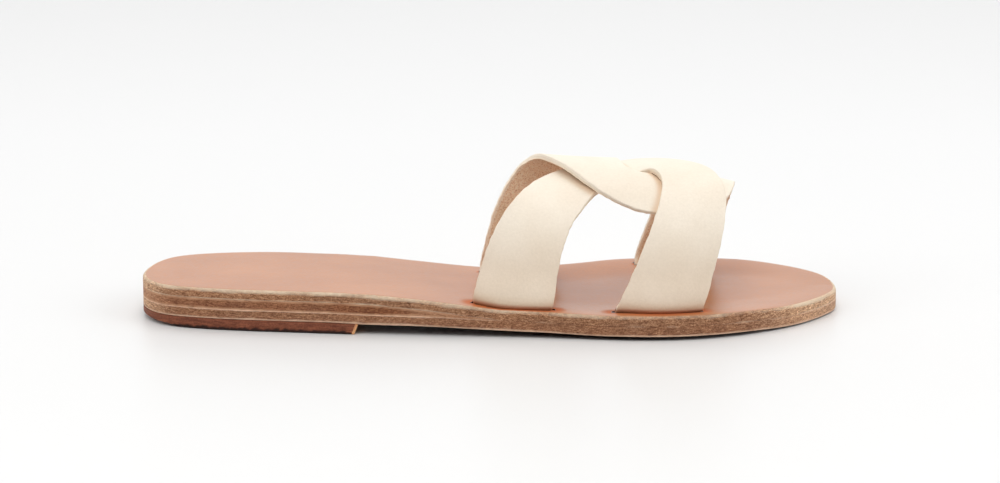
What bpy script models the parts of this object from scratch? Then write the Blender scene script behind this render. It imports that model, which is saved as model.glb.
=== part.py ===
# Greek sandal, right shoe: two hooked leather bands over a flat layered leather sole.
# Lengths are in metres. +X points to the toe, +Y to the medial side, +Z up, and the floor is z = 0.
# Tables give lengths in millimetres, along from near the back of the heel and across from the heel's middle.
import math

import bmesh
import bpy
import numpy as np

for old in list(bpy.data.objects):
    bpy.data.objects.remove(old, do_unlink=True)

MM = 0.001
SHARP_ANGLE = math.radians(35)
LATERAL, MEDIAL = -1, 1

# Sole: layers from the floor up, with a hairline between each two
OUTSOLE_THICK = 3.75
WEDGE_THICK = 3.55
INSOLE_THICK = 3.6
LAYER_GAP = 0.3
PAD_FRONT = 78.0
PAD_FRONT_SLANT = 1.5
SLANT_RUN = 8.0
WEDGE_FULL_TO = 82.0
WEDGE_FRONT = 118.0
WEDGE_RUN_OUT = 128.0
TOP_EDGE_CHAMFER = 0.8
FOOT_EDGE_CHAMFER = 0.5
EDGE_RISE_WIDTH = 24.0
OUTLINE_STEPS = 32
STATIONS = 44
SHORTEST_STATION = 1.0
COLUMNS = 8

# Outline of the sole, the same for every layer: landmark, along, across
OUTLINE = [
    ("heel back", -1.0, 1.0),
    ("heel lateral round", 5.4, -17.2),
    ("heel lateral", 26.0, -25.2),
    ("seat lateral", 62.0, -30.4),
    ("waist lateral", 104.0, -34.8),
    ("shank lateral", 140.0, -37.4),
    ("ball lateral", 180.0, -41.6),
    ("joint lateral", 206.0, -37.3),
    ("toe lateral", 230.0, -24.2),
    ("toe lateral round", 245.4, -7.6),
    ("toe tip", 251.1, 7.5),
    ("toe medial round", 246.2, 28.0),
    ("toe medial", 228.0, 43.3),
    ("ball medial", 203.0, 47.7),
    ("joint medial", 172.0, 45.0),
    ("shank medial", 146.0, 33.2),
    ("waist medial", 112.0, 24.5),
    ("seat medial", 72.0, 28.2),
    ("heel medial", 38.0, 31.6),
    ("heel medial round", 8.6, 24.4),
]

# Underside of the outsole: along, height of its middle, extra height of its edge
UNDERSIDE = [
    (0.0, 4.0, 0.0),
    (66.0, 4.0, 0.0),
    (82.0, 3.62, 0.0),
    (98.0, 3.56, 0.0),
    (108.0, 3.25, 0.1),
    (118.0, 2.72, 0.22),
    (128.0, 2.0, 0.55),
    (138.0, 1.3, 0.95),
    (148.0, 0.7, 1.3),
    (165.0, 0.0, 1.5),
    (195.0, 0.0, 1.4),
    (215.0, 0.0, 1.2),
    (234.0, 0.0, 0.5),
    (252.0, 0.0, 0.3),
]

# Upper: the arch that the two bands lie on
STRAP_THICK = 2.0
STRAP_STEPS = 4
STRAP_COLUMNS = 8
FORWARD_LEAN = 0.30
CREST_ACROSS = 3.5
ARCH_SQUARENESS = 2.3
ARCH_POINTS = 120
UNDER_ARCH_HEIGHT = 20.0
SLOT_CLEARANCE = 0.3
SLOT_END_CLEARANCE = 0.8
SLOT_STEPS = 8
SLOT_CUT_PAST = 2.0
TUCK = INSOLE_THICK - LAYER_GAP

# Distance of the slots from the sole's edge: along, on the lateral side, on the medial side
SLOT_INSET = [
    (118.0, 7.6, 8.8),
    (126.0, 5.0, 8.6),
    (134.0, 4.2, 8.5),
    (141.0, 4.8, 8.3),
    (148.0, 6.2, 8.2),
    (170.0, 8.6, 8.0),
    (184.0, 6.9, 7.4),
    (200.0, 8.8, 6.4),
]

# Height of the arch over the insole: along, height
ARCH_HEIGHT = [
    (110.0, 47.0),
    (135.0, 46.5),
    (165.0, 46.3),
    (205.0, 45.6),
]

# Each band from slot to slot. Along is measured before the forward lean. Girth is the share of the way from
# the crest to the slot, -1 at the lateral slot and 1 at the medial slot. Lift is plus where the band passes
# over the other one and minus where it passes under.
# Columns: row, inner along, inner girth, inner lift, outer along, outer girth, outer lift
LATERAL_BAND = [
    ("rear slot", 147.0, -1.00, 0.0, 119.2, -1.00, 0.0),
    ("rear leg low", 144.8, -0.78, 0.0, 117.9, -0.76, 0.0),
    ("rear leg", 144.6, -0.60, 0.0, 118.9, -0.60, 0.0),
    ("rear leg high", 146.4, -0.48, -0.15, 121.5, -0.45, -0.4),
    ("rear shoulder", 151.0, -0.32, -0.6, 127.2, -0.27, -1.5),
    ("rear crossing", 157.2, -0.21, -0.75, 134.4, -0.105, -2.4),
    ("turn in", 162.6, -0.15, -0.7, 142.2, 0.05, -2.0),
    ("turn corner", 166.0, -0.13, 0.0, 153.0, 0.165, -1.1),
    ("turn out", 169.4, -0.135, 0.7, 165.4, 0.16, 0.8),
    ("front crossing", 172.3, -0.19, 0.75, 180.0, 0.04, 0.75),
    ("front shoulder", 174.1, -0.29, 0.75, 190.0, -0.11, 0.75),
    ("front leg high", 174.2, -0.41, 0.75, 196.6, -0.31, 0.75),
    ("front leg", 173.4, -0.57, 0.5, 199.0, -0.54, 0.5),
    ("front leg low", 171.5, -0.78, 0.1, 199.8, -0.78, 0.1),
    ("front slot", 169.2, -1.00, 0.0, 199.4, -1.00, 0.0),
]
MEDIAL_BAND = [
    ("front slot", 178.6, 1.00, 0.0, 206.0, 1.00, 0.0),
    ("front leg low", 178.2, 0.80, 0.0, 206.0, 0.78, -0.3),
    ("front leg", 178.8, 0.58, 0.0, 204.8, 0.55, -2.6),
    ("front leg high", 179.0, 0.36, -0.15, 202.8, 0.34, -5.6),
    ("front shoulder", 177.6, 0.17, -0.6, 201.0, 0.14, -8.6),
    ("front crossing", 174.2, 0.01, -0.75, 198.4, -0.05, -10.8),
    ("turn in", 169.6, -0.10, -0.7, 193.4, -0.24, -7.6),
    ("turn corner", 166.0, -0.15, 0.0, 183.0, -0.43, -2.0),
    ("turn out", 162.6, -0.14, 0.7, 168.0, -0.44, -0.3),
    ("rear crossing", 159.8, -0.09, 0.75, 151.5, -0.32, 0.75),
    ("rear shoulder", 158.2, 0.00, 0.75, 140.0, -0.17, 1.1),
    ("rear leg high", 156.8, 0.12, 0.75, 131.0, -0.01, 1.2),
    ("rear leg bend", 152.8, 0.30, 0.75, 123.0, 0.20, 1.0),
    ("rear leg", 149.8, 0.52, 0.45, 119.6, 0.48, 0.5),
    ("rear leg low", 148.4, 0.77, 0.1, 119.4, 0.74, 0.1),
    ("rear slot", 148.4, 1.00, 0.0, 121.0, 1.00, 0.0),
]


def steady_curve(table, column, along):
    """Value of a table's column at a place along the shoe, smooth and without overshoot."""
    xs = [row[0] for row in table]
    ys = [row[column] for row in table]
    if along <= xs[0]:
        return ys[0]
    if along >= xs[-1]:
        return ys[-1]
    slopes = [(ys[i + 1] - ys[i]) / (xs[i + 1] - xs[i]) for i in range(len(xs) - 1)]
    tangents = [slopes[0]]
    for before, after in zip(slopes, slopes[1:]):
        same_way = before * after > 0
        tangents.append(2 * before * after / (before + after) if same_way else 0.0)
    tangents.append(slopes[-1])
    i = max(k for k in range(len(xs) - 1) if xs[k] <= along)
    width = xs[i + 1] - xs[i]
    t = (along - xs[i]) / width
    start = (1 + 2 * t) * (1 - t) ** 2 * ys[i] + t * (1 - t) ** 2 * width * tangents[i]
    finish = t * t * (3 - 2 * t) * ys[i + 1] + t * t * (t - 1) * width * tangents[i + 1]
    return start + finish


def ease(value, low, high):
    """0 below low, 1 above high and a smooth step between."""
    t = min(max((value - low) / (high - low), 0.0), 1.0)
    return t * t * (3 - 2 * t)


def through(p0, p1, p2, p3, t):
    """Point of the smooth curve through four points, between the middle two."""
    square = (2 * p0 - 5 * p1 + 4 * p2 - p3) * t * t
    cube = (3 * p1 - p0 - 3 * p2 + p3) * t ** 3
    return 0.5 * (2 * p1 + (p2 - p0) * t + square + cube)


def closed_outline(rows):
    """Both sides of the sole as curves from the back of the heel to the toe."""
    points = [np.array(row[1:]) for row in rows]
    count = len(points)
    curve = []
    for i in range(count):
        four = [points[(i + k) % count] for k in (-1, 0, 1, 2)]
        curve += [through(*four, step / OUTLINE_STEPS) for step in range(OUTLINE_STEPS)]
    curve = np.array(curve)
    curve = np.roll(curve, -int(curve[:, 0].argmin()), axis=0)
    tip = int(curve[:, 0].argmax())
    lateral = curve[: tip + 1]
    medial = np.vstack([curve[tip:], curve[:1]])[::-1]
    return {LATERAL: lateral, MEDIAL: medial}


SIDES = closed_outline(OUTLINE)
HEEL_END = SIDES[LATERAL][0]
TOE_END = SIDES[LATERAL][-1]
LENGTH = TOE_END[0] - HEEL_END[0]
MIDDLE = np.array([
    (HEEL_END[0] + TOE_END[0]) / 2,
    (SIDES[LATERAL][:, 1].min() + SIDES[MEDIAL][:, 1].max()) / 2,
    0.0,
])


def edge(along, side):
    """Across position of the sole's edge."""
    curve = SIDES[side]
    return float(np.interp(along, curve[:, 0], curve[:, 1]))


def underside(along, across):
    """Height of the outsole's lower face: flat in the middle and turned up a little at the edge."""
    from_edge = min(across - edge(along, LATERAL), edge(along, MEDIAL) - across)
    turned_up = 1 - ease(from_edge, 0.0, EDGE_RISE_WIDTH)
    return steady_curve(UNDERSIDE, 1, along) + steady_curve(UNDERSIDE, 2, along) * turned_up


def wedge_height(along):
    """Thickness that the wedge adds under the insole."""
    share = (WEDGE_RUN_OUT - along) / (WEDGE_RUN_OUT - WEDGE_FULL_TO)
    return WEDGE_THICK * min(max(share, 0.0), 1.0)


def outsole_top(along, across):
    return underside(along, across) + OUTSOLE_THICK


def insole_bottom(along, across):
    return outsole_top(along, across) + wedge_height(along)


def insole_top(along, across):
    return insole_bottom(along, across) + INSOLE_THICK


def lifted(height, amount):
    """The same surface raised by an amount."""
    return lambda along, across: height(along, across) + amount


def slot_across(along, side):
    """Across position of the slots' middle line."""
    return edge(along, side) - side * steady_curve(SLOT_INSET, 1 if side == LATERAL else 2, along)


def leather(name, colour, roughness):
    material = bpy.data.materials.new(name)
    material.use_nodes = True
    shader = material.node_tree.nodes["Principled BSDF"]
    shader.inputs["Base Color"].default_value = (*colour, 1.0)
    shader.inputs["Roughness"].default_value = roughness
    return material


def solid(name, points, faces, material=None):
    """Closed object from points in table millimetres."""
    mesh = bpy.data.meshes.new(name)
    metres = (np.array(points) - MIDDLE) * MM
    mesh.from_pydata([tuple(point) for point in metres], [], faces)
    shell = bmesh.new()
    shell.from_mesh(mesh)
    bmesh.ops.triangulate(shell, faces=shell.faces)
    bmesh.ops.recalc_face_normals(shell, faces=shell.faces)
    shell.to_mesh(mesh)
    shell.free()
    mesh.shade_smooth()
    mesh.set_sharp_from_angle(angle=SHARP_ANGLE)
    thing = bpy.data.objects.new(name, mesh)
    bpy.context.scene.collection.objects.link(thing)
    if material:
        mesh.materials.append(material)
    return thing


def cutter(thing):
    thing.hide_render = True
    thing.display_type = "WIRE"
    return thing


def combine(thing, other, operation):
    step = thing.modifiers.new(operation.lower(), "BOOLEAN")
    step.operation = operation
    step.solver = "EXACT"
    step.object = other


def sole_rows(front):
    """Pairs of edge points from heel to toe, or to a straight cut at front."""
    rows = []
    for k in range(1, STATIONS):
        along = HEEL_END[0] + LENGTH * (1 - math.cos(math.pi * k / STATIONS)) / 2
        if front is not None and along > front - SHORTEST_STATION:
            rows.append(front)
            break
        rows.append(along)
    return [(np.array([a, edge(a, LATERAL)]), np.array([a, edge(a, MEDIAL)])) for a in rows]


def inset_ring(ring, amount):
    """Each point of a closed ring moved in along the ring's normal."""
    moved = []
    for i, point in enumerate(ring):
        run = ring[(i + 1) % len(ring)] - ring[i - 1]
        normal = np.array([-run[1], run[0]]) / np.hypot(*run)
        moved.append(point + normal * amount)
    return moved


def layer(name, material, top, bottom, front=None, front_slant=0.0, top_chamfer=0.0, foot_chamfer=0.0):
    """One layer of the sole between two height functions, with its edges eased and its front cut slanted."""
    pairs = sole_rows(front)
    last = len(pairs) - 1
    toe_end = [TOE_END] if front is None else []
    lateral_way = [HEEL_END] + [pair[0] for pair in pairs] + toe_end
    medial_way = [pair[1] for pair in reversed(pairs)]
    ring = lateral_way + medial_way
    points, faces = [], []

    def add(plan, height):
        along = plan[0]
        if front_slant:
            share_down = 1 - height / top(*plan)
            along -= front_slant * share_down * ease(along, front - SLANT_RUN, front)
        points.append((along, plan[1], height))
        return len(points) - 1

    def face_grid(surface, chamfer, drop, flip):
        """The face's own grid, and the ring of points around it at the layer's edge."""
        inner = inset_ring(ring, chamfer) if chamfer else ring
        rim = [add(plan, surface(*plan) + drop * chamfer) for plan in ring] if chamfer else None
        inner_lateral = inner[1: last + 2]
        inner_medial = inner[::-1][: last + 1]
        grid = []
        for low, high in zip(inner_lateral, inner_medial):
            plans = [low + (high - low) * j / COLUMNS for j in range(COLUMNS + 1)]
            grid.append([add(plan, surface(*plan)) for plan in plans])
        heel = add(inner[0], surface(*inner[0]))
        toe = add(inner[last + 2], surface(*inner[last + 2])) if front is None else None
        cells = []
        for one, two in zip(grid, grid[1:]):
            cells += [(one[j], two[j], two[j + 1], one[j + 1]) for j in range(COLUMNS)]
        cells += [(heel, grid[0][j], grid[0][j + 1]) for j in range(COLUMNS)]
        if toe is not None:
            cells += [(toe, grid[-1][j + 1], grid[-1][j]) for j in range(COLUMNS)]
        border = [heel] + [row[0] for row in grid] + ([toe] if toe is not None else [])
        border += [row[-1] for row in reversed(grid)]
        count = len(border)
        if rim:
            cells += [(rim[i], rim[(i + 1) % count], border[(i + 1) % count], border[i])
                      for i in range(count) if front is None or i != last + 1]
        faces.extend([cell[::-1] for cell in cells] if flip else cells)
        return grid, (rim or border), border

    upper_grid, upper_rim, upper_border = face_grid(top, top_chamfer, -1, False)
    lower_grid, lower_rim, lower_border = face_grid(bottom, foot_chamfer, 1, True)
    count = len(upper_rim)
    for i in range(count):
        if front is not None and i == last + 1:
            continue
        j = (i + 1) % count
        faces.append((lower_rim[i], lower_rim[j], upper_rim[j], upper_rim[i]))
    if front is not None:
        above, below = upper_grid[-1], lower_grid[-1]
        for j in range(COLUMNS):
            faces.append((below[j], below[j + 1], above[j + 1], above[j]))
        for i, k in ((last + 1, 0), (last + 2, COLUMNS)):
            corner = [below[k], above[k]]
            corner += [upper_rim[i]] if upper_rim is not upper_border else []
            corner += [lower_rim[i]] if lower_rim is not lower_border else []
            if len(corner) > 2:
                faces.append(tuple(corner if k else corner[::-1]))
    return solid(name, points, faces, material)


def arch_side(along, side):
    """Half of the arch at one station: girth share, across and height of its points, slot height, girth."""
    foot_across = slot_across(along, side)
    slot_height = insole_top(along, foot_across)
    crest_height = insole_top(along, CREST_ACROSS) + steady_curve(ARCH_HEIGHT, 1, along)
    turn = np.linspace(math.pi / 2, 0.0, ARCH_POINTS)
    across = CREST_ACROSS + (foot_across - CREST_ACROSS) * np.cos(turn) ** (2 / ARCH_SQUARENESS)
    height = slot_height + (crest_height - slot_height) * np.sin(turn) ** (2 / ARCH_SQUARENESS)
    run = np.concatenate([[0.0], np.cumsum(np.hypot(np.diff(across), np.diff(height)))])
    return run / run[-1], across, height, slot_height, run[-1]


def on_arch(along, girth):
    """Point of the arch. Past the slot it goes straight down."""
    share, across, height, slot_height, length = arch_side(along, LATERAL if girth < 0 else MEDIAL)
    reach = min(abs(girth), 1.0)
    y = float(np.interp(reach, share, across))
    z = float(np.interp(reach, share, height))
    past = max(abs(girth) - 1.0, 0.0) * length
    return np.array([along + FORWARD_LEAN * (z - slot_height), y, z - past])


def slot_run(along, girth):
    """Girth share of a strap end tucked into the insole."""
    length = arch_side(along, LATERAL if girth < 0 else MEDIAL)[4]
    return math.copysign(1.0 + TUCK / length, girth)


def band_rows(table):
    """Smooth rows along a band, with a tucked row at each end."""
    rows = [np.array(row[1:]) for row in table]
    steps = []
    for i in range(len(rows) - 1):
        four = [rows[max(i - 1, 0)], rows[i], rows[i + 1], rows[min(i + 2, len(rows) - 1)]]
        steps += [through(*four, step / STRAP_STEPS) for step in range(STRAP_STEPS)]
    steps.append(rows[-1])
    for end in (0, -1):
        tucked = steps[end].copy()
        tucked[1] = slot_run(tucked[0], tucked[1])
        tucked[4] = slot_run(tucked[3], tucked[4])
        steps.insert(0 if end == 0 else len(steps), tucked)
    return steps


def band(name, table, material=None):
    """One leather band: its middle surface on the arch, made thick both ways."""
    steps = band_rows(table)
    columns = STRAP_COLUMNS
    plain = np.zeros((len(steps), columns + 1, 3))
    lift = np.zeros((len(steps), columns + 1, 1))
    for i, row in enumerate(steps):
        for j in range(columns + 1):
            along, girth, rise = row[:3] + (row[3:] - row[:3]) * j / columns
            plain[i, j] = on_arch(along, girth)
            lift[i, j] = rise

    def normals(surface):
        across = np.gradient(surface, axis=1)
        down = np.gradient(surface, axis=0)
        normal = np.cross(down, across)
        normal /= np.linalg.norm(normal, axis=2, keepdims=True)
        core = np.array([surface[..., 0].mean(), CREST_ACROSS, UNDER_ARCH_HEIGHT])
        outward = (normal * (surface - core)).sum() > 0
        return normal if outward else -normal

    middle = plain + normals(plain) * lift
    normal = normals(middle)
    outside = middle + normal * STRAP_THICK / 2
    inside = middle - normal * STRAP_THICK / 2
    points = np.concatenate([outside.reshape(-1, 3), inside.reshape(-1, 3)])
    half = len(steps) * (columns + 1)

    def at(i, j, face=0):
        return face * half + i * (columns + 1) + j

    faces = []
    for i in range(len(steps) - 1):
        for j in range(columns):
            cell = (at(i, j), at(i + 1, j), at(i + 1, j + 1), at(i, j + 1))
            faces.append(cell)
            faces.append(tuple(v + half for v in reversed(cell)))
        faces.append((at(i + 1, 0), at(i, 0), at(i, 0, 1), at(i + 1, 0, 1)))
        faces.append((at(i, columns), at(i + 1, columns), at(i + 1, columns, 1), at(i, columns, 1)))
    end = len(steps) - 1
    for j in range(columns):
        faces.append((at(0, j), at(0, j + 1), at(0, j + 1, 1), at(0, j, 1)))
        faces.append((at(end, j + 1), at(end, j), at(end, j, 1), at(end, j + 1, 1)))
    return solid(name, points, faces, material)


def slot_cutter(name, side, rear, front):
    """Curved slab that cuts one slot, along the slots' middle line."""
    half = STRAP_THICK / 2 + SLOT_CLEARANCE
    points, faces = [], []
    for k in range(SLOT_STEPS + 1):
        along = rear - SLOT_END_CLEARANCE + (front - rear + 2 * SLOT_END_CLEARANCE) * k / SLOT_STEPS
        run = np.array([2.0, slot_across(along + 1, side) - slot_across(along - 1, side)])
        normal = np.array([-run[1], run[0]]) / np.hypot(*run)
        plan = np.array([along, slot_across(along, side)])
        low = insole_bottom(*plan) - SLOT_CUT_PAST
        high = insole_top(*plan) + SLOT_CUT_PAST
        for way, level in ((-half, low), (half, low), (half, high), (-half, high)):
            spot = plan + normal * way
            points.append((spot[0], spot[1], level))
    for k in range(SLOT_STEPS):
        for j in range(4):
            i = (j + 1) % 4
            faces.append((4 * k + j, 4 * k + 4 + j, 4 * k + 4 + i, 4 * k + i))
    faces.append((0, 1, 2, 3))
    faces.append((4 * SLOT_STEPS + 3, 4 * SLOT_STEPS + 2, 4 * SLOT_STEPS + 1, 4 * SLOT_STEPS))
    return cutter(solid(name, points, faces))


tan_leather = leather("tan_leather", (0.52, 0.28, 0.17), 0.45)
edge_leather = leather("edge_leather", (0.22, 0.11, 0.06), 0.7)
cream_leather = leather("cream_leather", (0.86, 0.78, 0.64), 0.5)
brown_rubber = leather("brown_rubber", (0.17, 0.07, 0.04), 0.65)

# Sole, from the floor up
layer("heel_pad", brown_rubber, lifted(underside, -LAYER_GAP), lambda x, y: 0.0, front=PAD_FRONT,
      front_slant=PAD_FRONT_SLANT, foot_chamfer=FOOT_EDGE_CHAMFER)
layer("outsole", edge_leather, lifted(outsole_top, -LAYER_GAP), underside, foot_chamfer=FOOT_EDGE_CHAMFER)
layer("heel_wedge", edge_leather, lifted(insole_bottom, -LAYER_GAP), outsole_top, front=WEDGE_FRONT)
insole = layer("insole", tan_leather, insole_top, insole_bottom, top_chamfer=TOP_EDGE_CHAMFER)

# Slots for the four strap ends
for band_table in (LATERAL_BAND, MEDIAL_BAND):
    for row in (band_table[0], band_table[-1]):
        slot_side = LATERAL if row[2] < 0 else MEDIAL
        rear, front = sorted((row[1], row[4]))
        side_name = "lateral" if slot_side == LATERAL else "medial"
        cutter_name = side_name + "_" + row[0].replace(" ", "_")
        combine(insole, slot_cutter(cutter_name, slot_side, rear, front), "DIFFERENCE")

# Upper, the two bands joined where they cross
upper = band("upper", LATERAL_BAND, cream_leather)
combine(upper, cutter(band("medial_band", MEDIAL_BAND, cream_leather)), "UNION")
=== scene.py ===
# Looks of the greek sandal, right shoe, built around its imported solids.
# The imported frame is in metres: +X to the toe, +Y to the medial side, +Z up, floor at z = 0.
# Sizes of the sandal are in millimetres, along from near the back of the heel and across from the heel's
# middle. The floor and the softboxes are in metres, as the frame is.
import math

import bpy
import numpy as np
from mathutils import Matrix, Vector, kdtree, noise


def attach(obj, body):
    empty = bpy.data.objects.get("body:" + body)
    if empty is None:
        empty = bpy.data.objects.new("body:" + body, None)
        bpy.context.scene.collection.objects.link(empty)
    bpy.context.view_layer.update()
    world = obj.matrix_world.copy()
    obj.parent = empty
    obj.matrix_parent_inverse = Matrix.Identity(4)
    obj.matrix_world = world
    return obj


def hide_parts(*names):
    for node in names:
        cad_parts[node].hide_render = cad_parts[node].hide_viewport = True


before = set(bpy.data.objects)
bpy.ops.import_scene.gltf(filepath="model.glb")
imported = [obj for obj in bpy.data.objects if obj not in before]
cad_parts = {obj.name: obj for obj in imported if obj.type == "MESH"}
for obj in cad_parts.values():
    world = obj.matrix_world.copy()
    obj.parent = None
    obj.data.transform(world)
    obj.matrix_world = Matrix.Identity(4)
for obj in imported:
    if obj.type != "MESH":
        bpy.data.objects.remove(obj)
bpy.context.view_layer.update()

MM = 0.001
LATERAL, MEDIAL = -1, 1
CREASE = math.radians(50)

# Sole, layer by layer
PAD_THICK = 4.0
OUTSOLE_THICK = 3.75
WEDGE_THICK = 3.55
INSOLE_THICK = 3.6
LAYER_GAP = 0.02
PAD_FRONT = 78.0
PAD_FRONT_SLANT = 1.5
SLANT_RUN = 8.0
WEDGE_FULL_TO = 82.0
WEDGE_FRONT = 127.4
WEDGE_RUN_OUT = 128.0
EDGE_RISE_WIDTH = 24.0

# Mesh of the sole's outline and sides. The rims of the straps are rounded in as many steps.
OUTLINE_STEPS = 64
STATIONS = 420
SHORTEST_STATION = 0.3
ROUND_STEPS = 4
WALL_STEPS = 10

# Layers: columns of the faces, radius of the top rim and of the foot rim, depth of the chafing, noise seed
LAYERS = {
    "footbed": (40, 1.1, 0.15, 0.05, 1),
    "wedge": (8, 0.01, 0.01, 0.05, 4),
    "outsole": (40, 0.1, 0.55, 0.05, 7),
    "heel pad": (48, 0.1, 0.4, 0.04, 11),
}

# Chafing of the layers' sides: sizes of its features, and how many times finer they are downwards
CHAFE_SIZES = (1.1, 0.45)
CHAFE_FINER_DOWN = 3

# Dark notched rim at the foot of the heel pad, and the wear that lifts its back
BACK_WEAR = 1.7
BACK_WEAR_RUN = (-4.0, 23.0)
RIM_HEIGHT = 1.15
RIM_BLUR = (0.75, 1.15)
RIM_NOTCH = 0.7
NOTCH_SIZE, NOTCH_SEED = 1.5, 12
FINE_NOTCH, FINE_NOTCH_SIZE, FINE_NOTCH_SEED = 0.6, 0.7, 13

# Fresh-cut band at the front of the heel pad
CUT_BAND = 1.0

# Outline of the sole: landmark, along, across
OUTLINE = [
    ("heel back", -1.0, 1.0),
    ("heel lateral round", 5.4, -17.2),
    ("heel lateral", 26.0, -25.2),
    ("seat lateral", 62.0, -30.4),
    ("waist lateral", 104.0, -34.8),
    ("shank lateral", 140.0, -37.4),
    ("ball lateral", 180.0, -41.6),
    ("joint lateral", 206.0, -37.3),
    ("toe lateral", 230.0, -24.2),
    ("toe lateral round", 245.4, -7.6),
    ("toe tip", 251.1, 7.5),
    ("toe medial round", 246.2, 28.0),
    ("toe medial", 228.0, 43.3),
    ("ball medial", 203.0, 47.7),
    ("joint medial", 172.0, 45.0),
    ("shank medial", 146.0, 33.2),
    ("waist medial", 112.0, 24.5),
    ("seat medial", 72.0, 28.2),
    ("heel medial", 38.0, 31.6),
    ("heel medial round", 8.6, 24.4),
]

# Underside of the outsole: along, height of its middle, extra height of its edge
UNDERSIDE = [
    (0.0, 4.0, 0.0),
    (66.0, 4.0, 0.0),
    (82.0, 3.62, 0.0),
    (98.0, 3.56, 0.0),
    (108.0, 3.25, 0.1),
    (118.0, 2.72, 0.22),
    (128.0, 2.0, 0.55),
    (138.0, 1.3, 0.95),
    (148.0, 0.7, 1.3),
    (165.0, 0.0, 1.5),
    (195.0, 0.0, 1.4),
    (215.0, 0.0, 1.2),
    (234.0, 0.0, 0.5),
    (252.0, 0.0, 0.3),
]

# Widths of the pale lines at the top and the foot of the layers' sides, and their share at full strength
# The pale line at the top of the insole's side is partly its pale raw edge and partly a painted highlight on
# the rounded rim
FOOTBED_TOP_LINE = 1.9
FOOTBED_FOOT_LINE = 0.7
FOOTBED_FOOT_STRENGTH = 0.7
WEDGE_LINE = 1.0
OUTSOLE_TOP_LINE = 0.6
OUTSOLE_FOOT_LINE = 1.1
LINE_CORE = 0.2

# How strongly the pale seam lines show on the sole's side: along, share
SEAM_SHARE = [
    (0.0, 1.0),
    (90.0, 1.0),
    (118.0, 0.7),
    (140.0, 0.2),
    (200.0, 0.2),
    (235.0, 0.7),
    (252.0, 0.9),
]

# How strongly the pale top edge of the insole shows, partly a painted highlight on its rounded rim: along,
# share
TOP_SHARE = [
    (0.0, 0.8),
    (90.0, 0.75),
    (120.0, 0.6),
    (160.0, 0.5),
    (200.0, 0.42),
    (224.0, 0.42),
    (236.0, 0.95),
    (252.0, 1.0),
]

# Weaker painted highlight on the top edge on the far side of the toe: across and along at its start and end,
# and by how much
FAR_TOE_ACROSS = (9.0, 20.0)
FAR_TOE_ALONG = (225.0, 240.0)
FAR_TOE_DULL = 0.75

# Darkening of the wedge towards its front, and its paler skived tip: along at the start and end of each
WEDGE_DUSK = (55.0, 85.0)
WEDGE_TIP = (89.0, 101.0)
WEDGE_TIP_PALE = 1.5

# Painted light on the sole's side at the toe and at the back of the heel: along at its start and end
TOE_PAINTED_LIGHT = (210.0, 246.0)
HEEL_PAINTED_LIGHT = (-1.0, 13.0)

# Painted shade on the footbed below the crossing: along and across of its middle, its reach and its strength
SPOT_MIDDLE = (178.0, 4.0)
SPOT_REACH = (34.0, 30.0)
SPOT_SHADE_DARK = 0.22

# Painted light on the far side of the footbed at the straps: along where it comes and goes, across where it
# comes, strength
FAR_PALE_START = (138.0, 150.0)
FAR_PALE_END = (200.0, 215.0)
FAR_PALE_ACROSS = (20.0, 32.0)
FAR_PAINTED_LIGHT = 0.14

# Painted warm shade round the slots, where the strap bases shade the footbed and cast warm bounce light on
# it, with rougher leather there: its reach, the share of that in full, its strength and its dullness
SLOT_SHADE_REACH = {LATERAL: 6.0, MEDIAL: 1.5}
SLOT_SHADE_CORE = 0.25
SLOT_SHADE_STRENGTH = 0.92
SLOT_SHADE_DULL = 0.55

# Arch that the straps lie on
FORWARD_LEAN = 0.30
CREST_ACROSS = 3.5
ARCH_SQUARENESS = 2.3
ARCH_POINTS = 300
GIRTH_POINTS = 80
NEAR_CREST = 1e-6
UNDER_ARCH_HEIGHT = 20.0

# Slots in the insole, and the strap ends tucked into them
SLOT_CLEARANCE = 0.3
SLOT_END_CLEARANCE = {LATERAL: 0.95, MEDIAL: 0.2}
SLOT_STEPS = 24
SLOT_TURN_STEP = 1.0
SLOT_CUT_PAST = 2.0
TUCK = 3.2
TUCK_STEPS = 5

# Mesh of the straps
STRAP_THICK = 2.0
STRAP_WIDTH = 28.0
STRAP_STEPS = 14
STRAP_COLUMNS = 44
EDGE_ROUND = 0.5
EDGE_WALL_STEPS = 5
LATERAL_SEED = 21
MEDIAL_SEED = 22

# Uneven raw edges of the straps: depth and size of the waves, nicks and hairs
EDGE_FRAY, FRAY_SIZE = 0.16, 5.0
EDGE_NICK, NICK_SIZE = 0.22, 2.0
FRINGE, FRINGE_LEAST, FRINGE_SIZE = 0.22, 0.05, 0.55

# Soft waves of the straps, and where they fade out. A girth of 1 is at the slot.
UNDULATION, WAVE_SIZE = 0.10, 19.0
WAVE_FADE = (0.85, 0.95)

# Bulge of the straps over their slots: girth where it comes and goes
BASE_BULGE = 1.5
BULGE_RISE = (0.78, 0.96)
BULGE_FALL = (0.96, 1.008)

# Painted shade on the straps' low ends, browner and darker towards the slots: share, girth at its start and
# end. The last step differs by side.
LOW_PAINTED_SHADE = [
    (0.55, (0.5, 0.85)),
    (0.25, (0.92, 0.974)),
]
FOOT_PAINTED_SHADE = {LATERAL: 0.2, MEDIAL: 0.05}
FOOT_GIRTH = (0.972, 0.984)

# Pale hem of the suede: distance from the edge
HEM = (0.3, 1.6)

# Painted warm shade on a strap's grain under the other strap: distance from the other strap, drop below the
# arch where it starts, and strength
UNDER_STRAP_SHADE_REACH = (1.0, 3.4)
UNDER_DROP = (0.2, 0.8)
UNDER_STRAP_SHADE_STRENGTH = 0.5

# Distance of the slots from the sole's edge: along, on the lateral side, on the medial side
SLOT_INSET = [
    (118.0, 7.6, 8.8),
    (126.0, 5.0, 8.6),
    (134.0, 4.2, 8.5),
    (141.0, 4.8, 8.3),
    (148.0, 6.2, 8.2),
    (170.0, 8.6, 8.0),
    (184.0, 6.9, 7.4),
    (200.0, 8.8, 6.4),
]

# Height of the arch over the insole: along, height
ARCH_HEIGHT = [
    (110.0, 47.0),
    (135.0, 46.5),
    (165.0, 46.3),
    (205.0, 45.6),
]

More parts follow.
